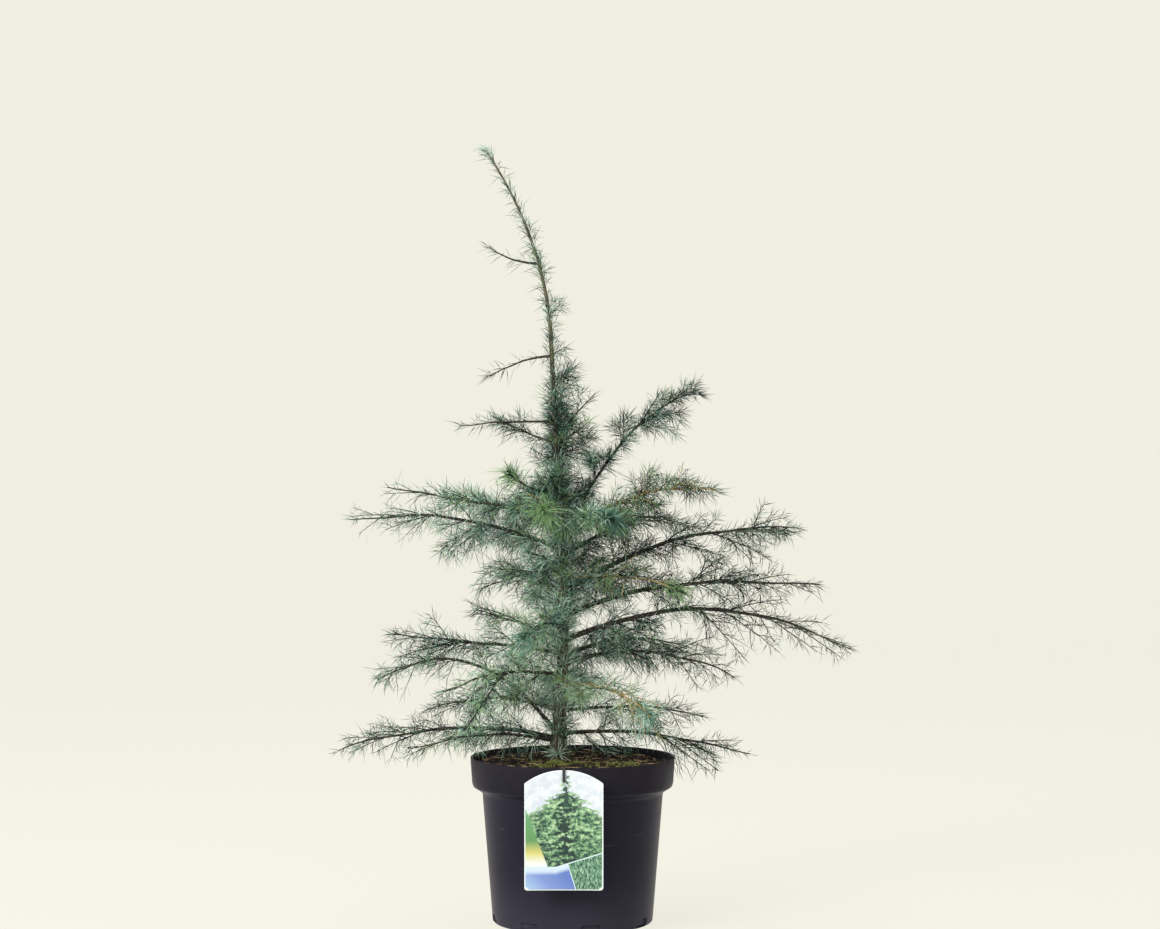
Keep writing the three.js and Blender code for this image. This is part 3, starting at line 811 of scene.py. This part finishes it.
def limb_shape(name):
    """(line, where the plume begins on it, half its width, half its depth). In plan the line is
    straight from the trunk; its height is the least-squares parabola through the CAD corners, and
    four rounds settle where it leaves the trunk."""
    plume = corners_of("foliage_" + name)
    whole = corners_of("foliage_" + name, "bough_" + name)
    root_height = whole[:, 2].mean()
    for _ in range(4):
        root = np.array([np.interp(root_height, heights, trunk_line[:, k]) for k in (0, 1)])
        bearing = unit(plume[:, :2].mean(0) - root)
        out = (whole[:, :2] - root) @ bearing
        weight = np.where(out > out.max() - 0.001, 6.0, 1.0)
        curve = np.polyfit(out, whole[:, 2], 2, w=weight)
        root_height = np.polyval(curve, 0.0)
    plume_out = (plume[:, :2] - root) @ bearing
    reach = plume_out.max() - TIP_ROOM
    share = np.linspace(0, 1, LIMB_POINTS)
    flat = root + bearing * (share * reach)[:, None]
    line = np.concatenate([flat, np.polyval(curve, share * reach)[:, None]], 1)
    beside = np.abs((plume[:, :2] - root) @ np.array((-bearing[1], bearing[0])))
    above = np.abs(plume[:, 2] - np.polyval(curve, plume_out))
    leafy = max(plume_out.min(), 0.006) / reach
    return line, leafy, np.quantile(beside, 0.97), np.quantile(above, 0.97)


plumes = [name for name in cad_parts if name.startswith("foliage_")]
limb_names = sorted(name[8:] for name in plumes if name != "foliage_leader")
LIMBS = len(limb_names)
shapes = zip(*[limb_shape(name) for name in limb_names])
limb_lines, limb_leafy, limb_wide, limb_deep = map(np.array, shapes)
limb_reach = np.linalg.norm(limb_lines[:, -1] - limb_lines[:, 0], axis=1)

# A real bough wanders: two slow waves to the side and up, none at the trunk.
dice = np.random.default_rng(SEED)
share = np.linspace(0, 1, LIMB_POINTS)
phase = dice.random((LIMBS, 4, 1)) * 2 * math.pi
strength = (limb_reach / 0.25)[:, None] * share
sideways = 0.0035 * np.sin(7 * share + phase[:, 0]) + 0.0016 * np.sin(19 * share + phase[:, 1])
upwards = 0.0028 * np.sin(6 * share + phase[:, 2]) + 0.0012 * np.sin(17 * share + phase[:, 3])
_, limb_side, limb_up = frames(limb_lines)
limb_lines = limb_lines + limb_side * (strength * sideways)[..., None]
limb_lines = limb_lines + limb_up * (strength * upwards)[..., None]

limb_foot = np.clip(0.0112 * limb_reach, 0.0014, 0.0031)
limb_foot[limb_names.index("right_high")] *= 0.75
limb_taper = TIP_RADIUS + (limb_foot[:, None] - TIP_RADIUS) * (1 - share) ** 0.85
limb_taper += limb_foot[:, None] * 0.5 * np.exp(-share * limb_reach[:, None] / COLLAR_LENGTH)
knots = 1 + 0.16 * (dice.random((LIMBS, LIMB_POINTS, LIMB_ROUND)) - 0.5)
golden = np.array([name in GOLDEN_LIMBS for name in limb_names])
for name, chosen, dark, middle, light in (
    ("boughs", ~golden, (0.014, 0.012, 0.012), (0.043, 0.036, 0.032), (0.115, 0.096, 0.080)),
    ("golden_boughs", golden, (0.12, 0.085, 0.030), (0.34, 0.255, 0.105), (0.60, 0.48, 0.25)),
):
    points, face_sets = stems(limb_lines[chosen], (limb_taper[..., None] * knots)[chosen])
    boughs = mesh_piece(name, points, face_sets)
    limb_bark = Finish(name + "_bark", middle, 0.85, Specular_IOR_Level=0.2)
    flecks = limb_bark.noise(420, 5)
    flecked = limb_bark.ramp(flecks, (0.32, dark), (0.5, middle), (0.7, light))
    limb_bark.set("Base Color", flecked)
    limb_bark.relief(flecks, 0.5, 0.0008)
    limb_bark.cover(boughs)
    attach(boughs, "root")
    if name == "boughs":
        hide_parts(*[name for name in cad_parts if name.startswith("bough_")])

# ----------------------------------------
# The side shoots. They leave a bough on alternate sides, mostly level, at about 45 degrees,
# longest behind the middle, droop at their ends, and carry short shoots of their own. Others
# stand on the trunk between the boughs, and grow shorter up the leader.
# ----------------------------------------

SHOOT_POINTS = 8
TWIG_RINGS = [0, 2, 5, 7]  # those of a shoot's points that carry a ring of its bark
NEEDLE_ROOM = 0.009  # needles reach this far past the end of a shoot
SPACING = 0.0085
SECOND_SPACING = 0.0070
BARE = 0.25  # share of the stretch before the plume that stays bare
GOLDEN_TURN = 2.39996
STEM_SHOOTS = 230
# Boughs that end in far fewer or more needles than the rest, and boughs with shorter side shoots.
CLAD = {
    "left_long": 0.32,
    "left_upper": 0.40,
    "right_long": 0.75,
    "right_high": 2.3,
    "front_right_low": 1.5,
}
SHORTER = {"right_high": 0.75, "back_left_mid": 0.65, "left_lowest": 0.85}
# Up the leader the shoots stand in clusters: (height, size).
CLUSTERS = (
    (0.797, 0.35),
    (0.756, 0.5),
    (0.725, 0.9),
    (0.700, 0.6),
    (0.660, 0.9),
    (0.624, 1.0),
    (0.588, 1.1),
    (0.560, 1.0),
)


def shoot_lines(start, way, bend, length, droop):
    """Curves from start: length*(way*q + bend*q*q - up*droop*q*q) for q from 0 to 1."""
    q = np.linspace(0, 1, SHOOT_POINTS)[:, None]
    fall = -UP * droop[:, None, None] * q**2
    return start[:, None] + length[:, None, None] * (way[:, None] * q + bend[:, None] * q**2 + fall)


def leaving(paths, line, share, lean, turn):
    """(start, ahead, way) of shoots on those lines: way is the angle lean away from ahead, turned
    round it from the side upwards: ahead*cos(lean) + (side*cos(turn) + up*sin(turn))*sin(lean)."""
    ahead, side, up = (unit(on_lines(field, line, share)) for field in frames(paths))
    outwards = side * np.cos(turn)[:, None] + up * np.sin(turn)[:, None]
    way = ahead * np.cos(lean)[:, None] + outwards * np.sin(lean)[:, None]
    return on_lines(paths, line, share), ahead, way


def numbered(counts):
    """(whose, which): for counts of things each thing's owner, and its number among its own."""
    whose = np.repeat(np.arange(len(counts)), counts)
    return whose, np.arange(counts.sum()) - np.repeat(np.cumsum(counts) - counts, counts)


def alternate(number, spread):
    """Angles of shoots on the right and the left of a bough by turns, give or take the spread."""
    side = np.where(number % 2 == 0, 0.0, math.pi)
    return side + dice.normal(size=len(number)) * spread


# On the boughs. A plume's outline is sin(pi*share^0.8)^0.7, and near the trunk it is deeper.
dice = np.random.default_rng(SEED + 1)
counts = np.maximum(6, np.round(limb_reach * (1 - BARE * limb_leafy) / SPACING)).astype(int)
owner, number = numbered(counts)
clad = np.array([CLAD.get(name, 1) for name in limb_names])
gaps = 0.42 * number / counts[owner] * (1 + 0.35 * (clad[owner] < 1))  # more of them further out
thinned = dice.random(len(owner)) < gaps
owner, number = owner[~thinned], number[~thinned]
total = len(owner)
inner = limb_leafy[owner] * BARE
along = np.clip((number + 0.8 * dice.random(total)) / counts[owner], 0, 0.985)
limb_share = inner + (1 - inner) * along
plume_share = np.clip((limb_share - limb_leafy[owner]) / (1 - limb_leafy[owner]), 0, 1)
turn = alternate(number, 0.5)
upright = dice.random(total) < 0.42 - 0.3 * plume_share
turn[upright] = dice.random(upright.sum()) * 2 * math.pi
outline = np.sin(math.pi * (0.02 + 0.96 * plume_share) ** 0.8) ** 0.7
outline = np.maximum(outline, 0.75 * (plume_share < 0.2))
low_limb = limb_lines[owner, 0, 2] < 0.48
deep = limb_deep[owner] * np.where(low_limb, 1.8 - 0.9 * plume_share, 0.9)
room = outline / np.sqrt((np.cos(turn) / limb_wide[owner]) ** 2 + (np.sin(turn) / deep) ** 2)
lean = np.radians(np.clip(50 - 22 * plume_share + dice.normal(size=total) * 9, 24, 62))
bough_length = np.clip((room - NEEDLE_ROOM) / np.sin(lean), 0.007, 0.075)
bough_length *= 0.55 + 0.7 * dice.random(total)
bough_length = np.minimum(bough_length, (1 - limb_share) * limb_reach[owner] * 0.85 + 0.007)
bough_length *= np.array([SHORTER.get(name, 1) for name in limb_names])[owner]
start, ahead, way = leaving(limb_lines, owner, limb_share, lean, turn)
droop = (0.10 + 0.18 * dice.random(total)) * np.clip(bough_length / 0.04, 0.3, 1.4)
droop *= 1 - 0.6 * plume_share
bough_shoots = shoot_lines(start, way, ahead * 0.16, bough_length, droop)


def clustered(height):
    """How much grows at a height of the leader: 0.05 between the clusters, up to 1.1 in them."""
    return 0.05 + sum(size * np.exp(-(((height - at) / 0.009) ** 2)) for at, size in CLUSTERS)


# On the trunk, bushiest at mid height, and up the leader.
leader_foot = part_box("foliage_leader")[0].z
even = np.linspace(0.01, 0.99, STEM_SHOOTS)
stem_share = np.clip(even + dice.normal(size=STEM_SHOOTS) * 0.003, 0.008, 0.995)
height = heights[0] + stem_share * (heights[-1] - heights[0])
up_leader = np.clip((height - leader_foot) / (heights[-1] - leader_foot), 0, 1)
bushy = 0.014 + 0.040 * np.exp(-(((height - 0.42) / 0.10) ** 2))
stem_length = 0.008 + bushy * dice.random(STEM_SHOOTS)
on_top = (1 - up_leader) ** 0.5 * (0.3 + 0.8 * dice.random(STEM_SHOOTS)) * clustered(height)
stem_length = np.where(height < leader_foot, stem_length, 0.002 + 0.024 * on_top)
lean = np.radians(66 - 26 * up_leader + dice.normal(size=STEM_SHOOTS) * 9)
turn = np.arange(STEM_SHOOTS) * GOLDEN_TURN + dice.normal(size=STEM_SHOOTS) * 0.4
start, ahead, way = leaving(trunk_line[None], np.zeros(STEM_SHOOTS, int), stem_share, lean, turn)
to_right = np.where(height > leader_foot, 0.70 + 0.60 * way[:, 0], 0.78 + 0.45 * way[:, 0])
stem_length = stem_length * np.where(height > 0.5, to_right, 1)
droop = 0.06 + 0.1 * dice.random(STEM_SHOOTS)
stem_shoots = shoot_lines(start, way, ahead * 0.2, stem_length, droop)

# Short shoots on the longer of all those, more of them near the trunk.
first = np.concatenate([bough_shoots, stem_shoots])
first_length = np.concatenate([bough_length, stem_length])
first_owner = np.concatenate([owner, np.full(STEM_SHOOTS, -1)])
first_share = np.concatenate([plume_share, np.zeros(STEM_SHOOTS)])
per_shoot = np.floor(first_length * (1.25 - 0.95 * first_share) / SECOND_SPACING)
per_shoot = np.where(first_length > 0.015, per_shoot, 0).astype(int)
parent, number = numbered(per_shoot)
total = len(parent)
place = (number + 0.5 + 0.5 * dice.random(total)) / (per_shoot[parent] + 0.6)
place = np.clip(place, 0.12, 0.9)
turn = alternate(number, 0.8)
lean = np.radians(46 + dice.normal(size=total) * 9)
start, ahead, way = leaving(first, parent, place, lean, turn)
second_length = np.clip((1 - place) * first_length[parent] * 0.62 + 0.004, 0.005, 0.026)
second_length *= 0.7 + 0.6 * dice.random(total)
droop = 0.10 + 0.10 * dice.random(total)
second = shoot_lines(start, way, ahead * 0.14, second_length, droop)

every = np.concatenate([first, second])
every_length = np.concatenate([first_length, second_length])
every_owner = np.concatenate([first_owner, first_owner[parent]])
every_share = np.concatenate([first_share, first_share[parent]])
thick_foot = np.clip(0.00024 + 0.015 * every_length, 0.00032, 0.0009)
taper = thick_foot[:, None] * (1 - 0.55 * np.linspace(0, 1, SHOOT_POINTS))[TWIG_RINGS]
sunny = (every_owner >= 0) & golden[every_owner] & (dice.random(len(every)) < 0.7)
new_wood = (every_share > 0.5) | (every[:, 0, 2] > 0.6)
for name, chosen, colour in (
    ("older_twigs", ~sunny & ~new_wood, (0.031, 0.031, 0.029)),
    ("new_twigs", ~sunny & new_wood, (0.100, 0.108, 0.084)),
    ("golden_twigs", sunny, (0.48, 0.41, 0.18)),
):
    three_round = np.repeat(taper[chosen][..., None], 3, 2)
    points, face_sets = stems(every[chosen][:, TWIG_RINGS], three_round)
    twigs = mesh_piece(name, points, face_sets)
    Finish(name + "_bark", colour, 0.8, Specular_IOR_Level=0.15).cover(twigs)
    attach(twigs, "root")

# ----------------------------------------
# The needles. Soft three-sided needles, single and spiralled on new wood, in whorls on short
# spurs on the rest, each whorl spread like a star. Each has one plain green out of eight: every
# shoot has its own tone, and its needles differ from it by chance; the tones also hold painted
# light and shade.
# ----------------------------------------

NEEDLES_PER_METRE = {"bough": 480, "first": 600, "second": 910, "stem": 6000, "star": 4700}
BOUGH, FIRST, SECOND, STEM, STAR = range(len(NEEDLES_PER_METRE))
NEEDLE_LENGTH = 0.0195
NEEDLE_THICK = 0.00069
SPUR_SPACING = 0.006
STAR_DEPTH = 0.024  # the length of a bough's end that a star stands on
PIECE_NEEDLES = 30000  # at most, in one mesh
OUTSIDE = 0.006  # how far past the CAD box a tip may reach

# The first six greens run from near black to pale: "shade" stands for painted shade and "mint" for
# a partly painted highlight. The tone that picks among them holds painted light and shade as well
# as chance.
GREENS = {
    "shade": (0.007, 0.015, 0.011),
    "deep": (0.021, 0.057, 0.045),
    "blue": (0.054, 0.134, 0.100),
    "glaucous": (0.118, 0.266, 0.198),
    "pale": (0.228, 0.430, 0.352),
    "mint": (0.540, 0.740, 0.600),
    "fresh": (0.230, 0.410, 0.175),
    "olive": (0.190, 0.225, 0.095),
}
GREEN_STEPS = [-1.3, -0.5, 0.25, 0.95, 1.6]  # the tones between one of the first six and the next
tints = {name: number for number, name in enumerate(GREENS)}

# Every line that carries needles: the boughs and the trunk in short lengths, all the shoots, and
# the short thick ends of the boughs that point at the viewer, whose needles stand out as stars.
STARS = {  # bough: (green, how much longer than the rest)
    "front_mid": ("fresh", 1.6),
    "front_left_high": ("fresh", 1.4),
    "front_right_mid": ("blue", 1.4),
    "front_low": ("glaucous", 1.5),
    "front_right": ("fresh", 1.2),
    "front_right_low": ("pale", 1.2),
}
FOOT_STAR = ("mint", 1.25)
q = np.linspace(0, 1, SHOOT_POINTS)
pieces, piece_owner, piece_share = [], [], []
for limb in range(LIMBS):
    pieces_here = max(3, int(limb_reach[limb] / 0.02))
    cuts = np.linspace(limb_leafy[limb] * BARE, 1, pieces_here + 1)
    pieces.append(on_lines(limb_lines, limb, cuts[:-1, None] + np.diff(cuts)[:, None] * q))
    piece_owner.append(np.full(pieces_here, limb))
    piece_share.append(np.clip((cuts[:-1] - limb_leafy[limb]) / (1 - limb_leafy[limb]), 0, 1))
cuts = np.linspace(0.02, 1, 45)
trunk_pieces = on_lines(trunk_line[None], 0, cuts[:-1, None] + np.diff(cuts)[:, None] * q)
star_limbs = [limb_names.index(name) for name in STARS]
from_tips = (1 - q) * STAR_DEPTH / limb_reach[star_limbs, None]
star_pieces = on_lines(limb_lines, np.array(star_limbs)[:, None], 1 - from_tips)
# One more star leans out from the foot of the trunk.
foot_start = trunk_line[:1] + (0.004, -0.008, 0.011)
foot_way = unit(np.array([(-0.30, -0.85, 0.1)]))
foot_star = shoot_lines(foot_start, foot_way, np.zeros((1, 3)), np.array([0.012]), np.zeros(1))
star_pieces = np.concatenate([star_pieces, foot_star])

by_kind = [np.concatenate(pieces), first, second, trunk_pieces, star_pieces]
lines = np.concatenate(by_kind)
line_kind = np.repeat(range(len(by_kind)), [len(one) for one in by_kind])
on_stem = np.full(len(trunk_pieces), -1)
owners = [*piece_owner, first_owner, first_owner[parent], on_stem, star_limbs, [-1]]
shares = [*piece_share, first_share, first_share[parent], 0.0 * on_stem, np.ones(len(star_pieces))]
line_owner, line_share = np.concatenate(owners), np.concatenate(shares)
line_length = np.linalg.norm(np.diff(lines, axis=1), axis=2).sum(1)
x, y, z = lines.mean(1).T  # the middle of each line
line_out = np.hypot(x + 0.02, y)
of_limb = line_owner >= 0
on_leader = ~of_limb & (z > leader_foot)
leader_stem = on_leader & (line_kind == STEM)
star = line_kind == STAR
last = np.zeros(len(lines), bool)  # the ends of the boughs and of the leader
last[np.cumsum([len(one) for one in pieces]) - 1] = True
last[len(lines) - len(star_pieces) - 1] = True

# How many: fewest at the tips of the long boughs, most near the trunk.
dice = np.random.default_rng(SEED + 2)
lush = np.choose(line_kind, list(NEEDLES_PER_METRE.values()))
lush = lush * (0.65 + 0.7 * dice.random(len(lines)))
lush *= np.where(star, 1, np.interp(line_out, [0.05, 0.10, 0.16, 0.30], [1.2, 1.05, 0.80, 0.78]))
lush *= np.interp(z, [0.20, 0.37, 0.42], [0.52, 0.62, 1.0])
lush *= np.where(of_limb, np.interp(z, [0.5, 0.58], [1, 0.5]), 1)
limb_lush = 0.75 + 0.5 * dice.random(LIMBS)
lush *= np.where(of_limb, limb_lush[line_owner], 1)
towards_end = np.where(clad[line_owner] > 1, 1, np.clip(line_share * 2.5 - 0.4, 0, 1))
lush *= np.where(of_limb, 1 + (clad[line_owner] - 1) * towards_end, 1)
lush *= np.where(last, 2.4, 1)
lush *= np.where(leader_stem, np.where(last, 0.14, 0.02 + 0.28 * clustered(z)), 1)
counts = np.maximum(2, np.round((line_length + 0.003) * lush)).astype(int)
line, number = numbered(counts)
total = len(line)
kind, in_star = line_kind[line], star[line]

# Where: on older wood the places gather on spurs 6 mm apart.
share = (number + dice.random(total)) / counts[line]
whorled = dice.random(total) < np.choose(kind, [0.7, 0.5, 0.25, 0.3, 0.0])
spurs = np.maximum(1, np.round(line_length[line] / SPUR_SPACING))
spur = np.minimum(np.floor(share * spurs), spurs - 1)
share = np.where(whorled, (spur + 0.5) / spurs, share ** np.where(kind > BOUGH, 0.85, 1.0))
line_turn = (dice.random(len(lines)) * 2 * math.pi)[line]
round_spur = line_turn + spur * GOLDEN_TURN + dice.normal(size=total) * 0.75
turn = np.where(whorled, round_spur, line_turn + number * GOLDEN_TURN)

# How they lean: more and more ahead towards a shoot's tip, but every way on a spur or a star.
tip_tuft = (share > 0.9) & ((kind == FIRST) | (kind == SECOND))
on_spur = 0.45 + 1.15 * dice.random(total)
lean = np.where(whorled, on_spur, 1.08 - 0.42 * share + 0.16 * dice.normal(size=total))
for where, least, most in (
    (tip_tuft, 0.15, 0.75),
    (last[line] & (share > 0.4), 0.1, 0.5),
    (in_star, 0.2, 1.25),
    (leader_stem[line], 0.35, 0.55),
):
    lean = np.where(where, least + most * dice.random(total), lean)
base, ahead, way = leaving(lines, line, share, lean, turn)
# On the trunk they start at its bark.
sideways = unit(way - ahead * (way * ahead).sum(1, keepdims=True))
bark_out = 0.85 * np.interp(base[:, 2], heights, trunk_radius)
base += sideways * np.where(kind == STEM, bark_out, 0)[:, None]
way = unit(way + UP * 0.05)

longer = np.ones(len(lines))
longer[star] = [times for _, times in (*STARS.values(), FOOT_STAR)]
length = NEEDLE_LENGTH * (0.55 + 0.65 * dice.random(total)) * longer[line]
length *= np.where(in_star, 1, np.interp(line_out[line], [0.08, 0.24], [1.0, 0.82]))
length *= np.where(on_leader[line], 0.9, 1.0) * np.where(tip_tuft, 0.85, 1.0)
bend = dice.normal(size=(total, 3)) * (np.where(in_star, 0.17, 0.10) * length)[:, None]
bend -= UP * (length * np.where(in_star, 0.5 * dice.random(total), 0.1))[:, None]
thick = NEEDLE_THICK * (0.8 + 0.4 * dice.random(total)) * np.where(in_star, 1.25, 1)

# Their tones are painted light and shade with chance: deeper inside and away from the light,
# palest low in front, with chance both shoot by shoot and needle by needle.
limb_tone = dice.normal(size=LIMBS) * 0.4
tone = np.where(of_limb, limb_tone[line_owner], 0) + dice.normal(size=len(lines)) * 0.8
tone += np.choose(line_kind, [-0.5, 0.0, 0.3, 0.9, 0])
# Painted shade to the right and at the back, and painted light to the left and in front, as the key
# light stands at the front left.
tone += 0.1 - x * np.where(x > 0, 4.2, 0.8) - y * 2.4
# Darker above 0.46 m.
tone -= np.interp(z, [0.46, 0.52], [0, 0.9])
# Painted light: a pale pool low in front of the trunk.
tone += np.exp(-(((z - 0.30) / 0.09) ** 2) - (x / 0.11) ** 2) * (y < 0.02)
# Painted shade: darkest in the hollow to the right of the trunk.
tone -= 1.6 * np.exp(-(((x - 0.06) / 0.055) ** 2) - ((z - 0.415) / 0.07) ** 2)
# The lower boughs stand in the shade of the upper ones, but for the front of the trunk.
tone -= 0.6 * np.interp(z, [0.38, 0.44], [1, 0]) * np.interp(np.abs(x), [0.04, 0.09], [0, 1])
tone += np.where(on_leader, 0.2, 0)
needle_painted_light_and_chance = tone[line] + dice.normal(size=total) * 1.05

# Their greens: the step that the tone is on, but some are yellower, and a star has its own.
tint = np.digitize(needle_painted_light_and_chance, GREEN_STEPS)
yellow = dice.random(len(lines)) < np.where((y < -0.03) & (line_out < 0.16), 0.42, 0.10)
tint = np.where(yellow[line] & (needle_painted_light_and_chance > -0.6), tints["fresh"], tint)
tint = np.where((dice.random(total) < 0.05) & (tint <= tints["pale"]), tints["olive"], tint)
# Painted shade: at the ends of the boughs, which show dark against the bright backdrop, no needle
# is paler than glaucous.
tint = np.where(last[line] & ~on_leader[line], np.minimum(tint, tints["glaucous"]), tint)
own_green = np.zeros(len(lines), int)
own_green[star] = [tints[green] for green, _ in (*STARS.values(), FOOT_STAR)]
tint = np.where(in_star & (dice.random(total) < 0.72), own_green[line], tint)

# No needle grows through the pot or the soil, or out of the plant's own outline.
tips = base + way * length[:, None] + bend
tip_out = np.hypot(tips[:, 0], tips[:, 1])
inside_pot = (tip_out < rim_radius + 0.002) & (tips[:, 2] < rim_top + 0.001)
inside_pot &= ~((tip_out < SOIL_EDGE - 0.002) & (tips[:, 2] > rim_top - 0.006))
outside = (tips < np.array(cad_low) - OUTSIDE).any(1) | (tips > np.array(cad_high) + OUTSIDE).any(1)
kept = ~(inside_pot | outside)

# The needles of a star are long enough to show their bend, so they have one more ring.
SHAPES = {"long": (in_star, ((0.2, 1.0), (0.65, 0.85))), "short": (~in_star, ((0.4, 1.0),))}
for name, colour in GREENS.items():
    # The darker the needles, the deeper they stand, and the less they have to mirror.
    shine = min(0.45, 0.06 + 1.6 * colour[1])
    green = Finish("needle_" + name, colour, 0.42, Specular_IOR_Level=shine)
    for group, (of_shape, rings) in SHAPES.items():
        chosen = np.nonzero(kept & of_shape & (tint == tints[name]))[0]
        parts = math.ceil(len(chosen) / PIECE_NEEDLES)
        for part, few in enumerate(np.array_split(chosen, parts) if parts else (), 1):
            points, faces = spindles(base[few], way[few], length[few], thick[few], bend[few], rings)
            needles = mesh_piece(f"needles_{name}_{group}_{part}", points, [faces])
            green.cover(needles)
            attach(needles, "root")
            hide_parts(*plumes)
            plumes = []
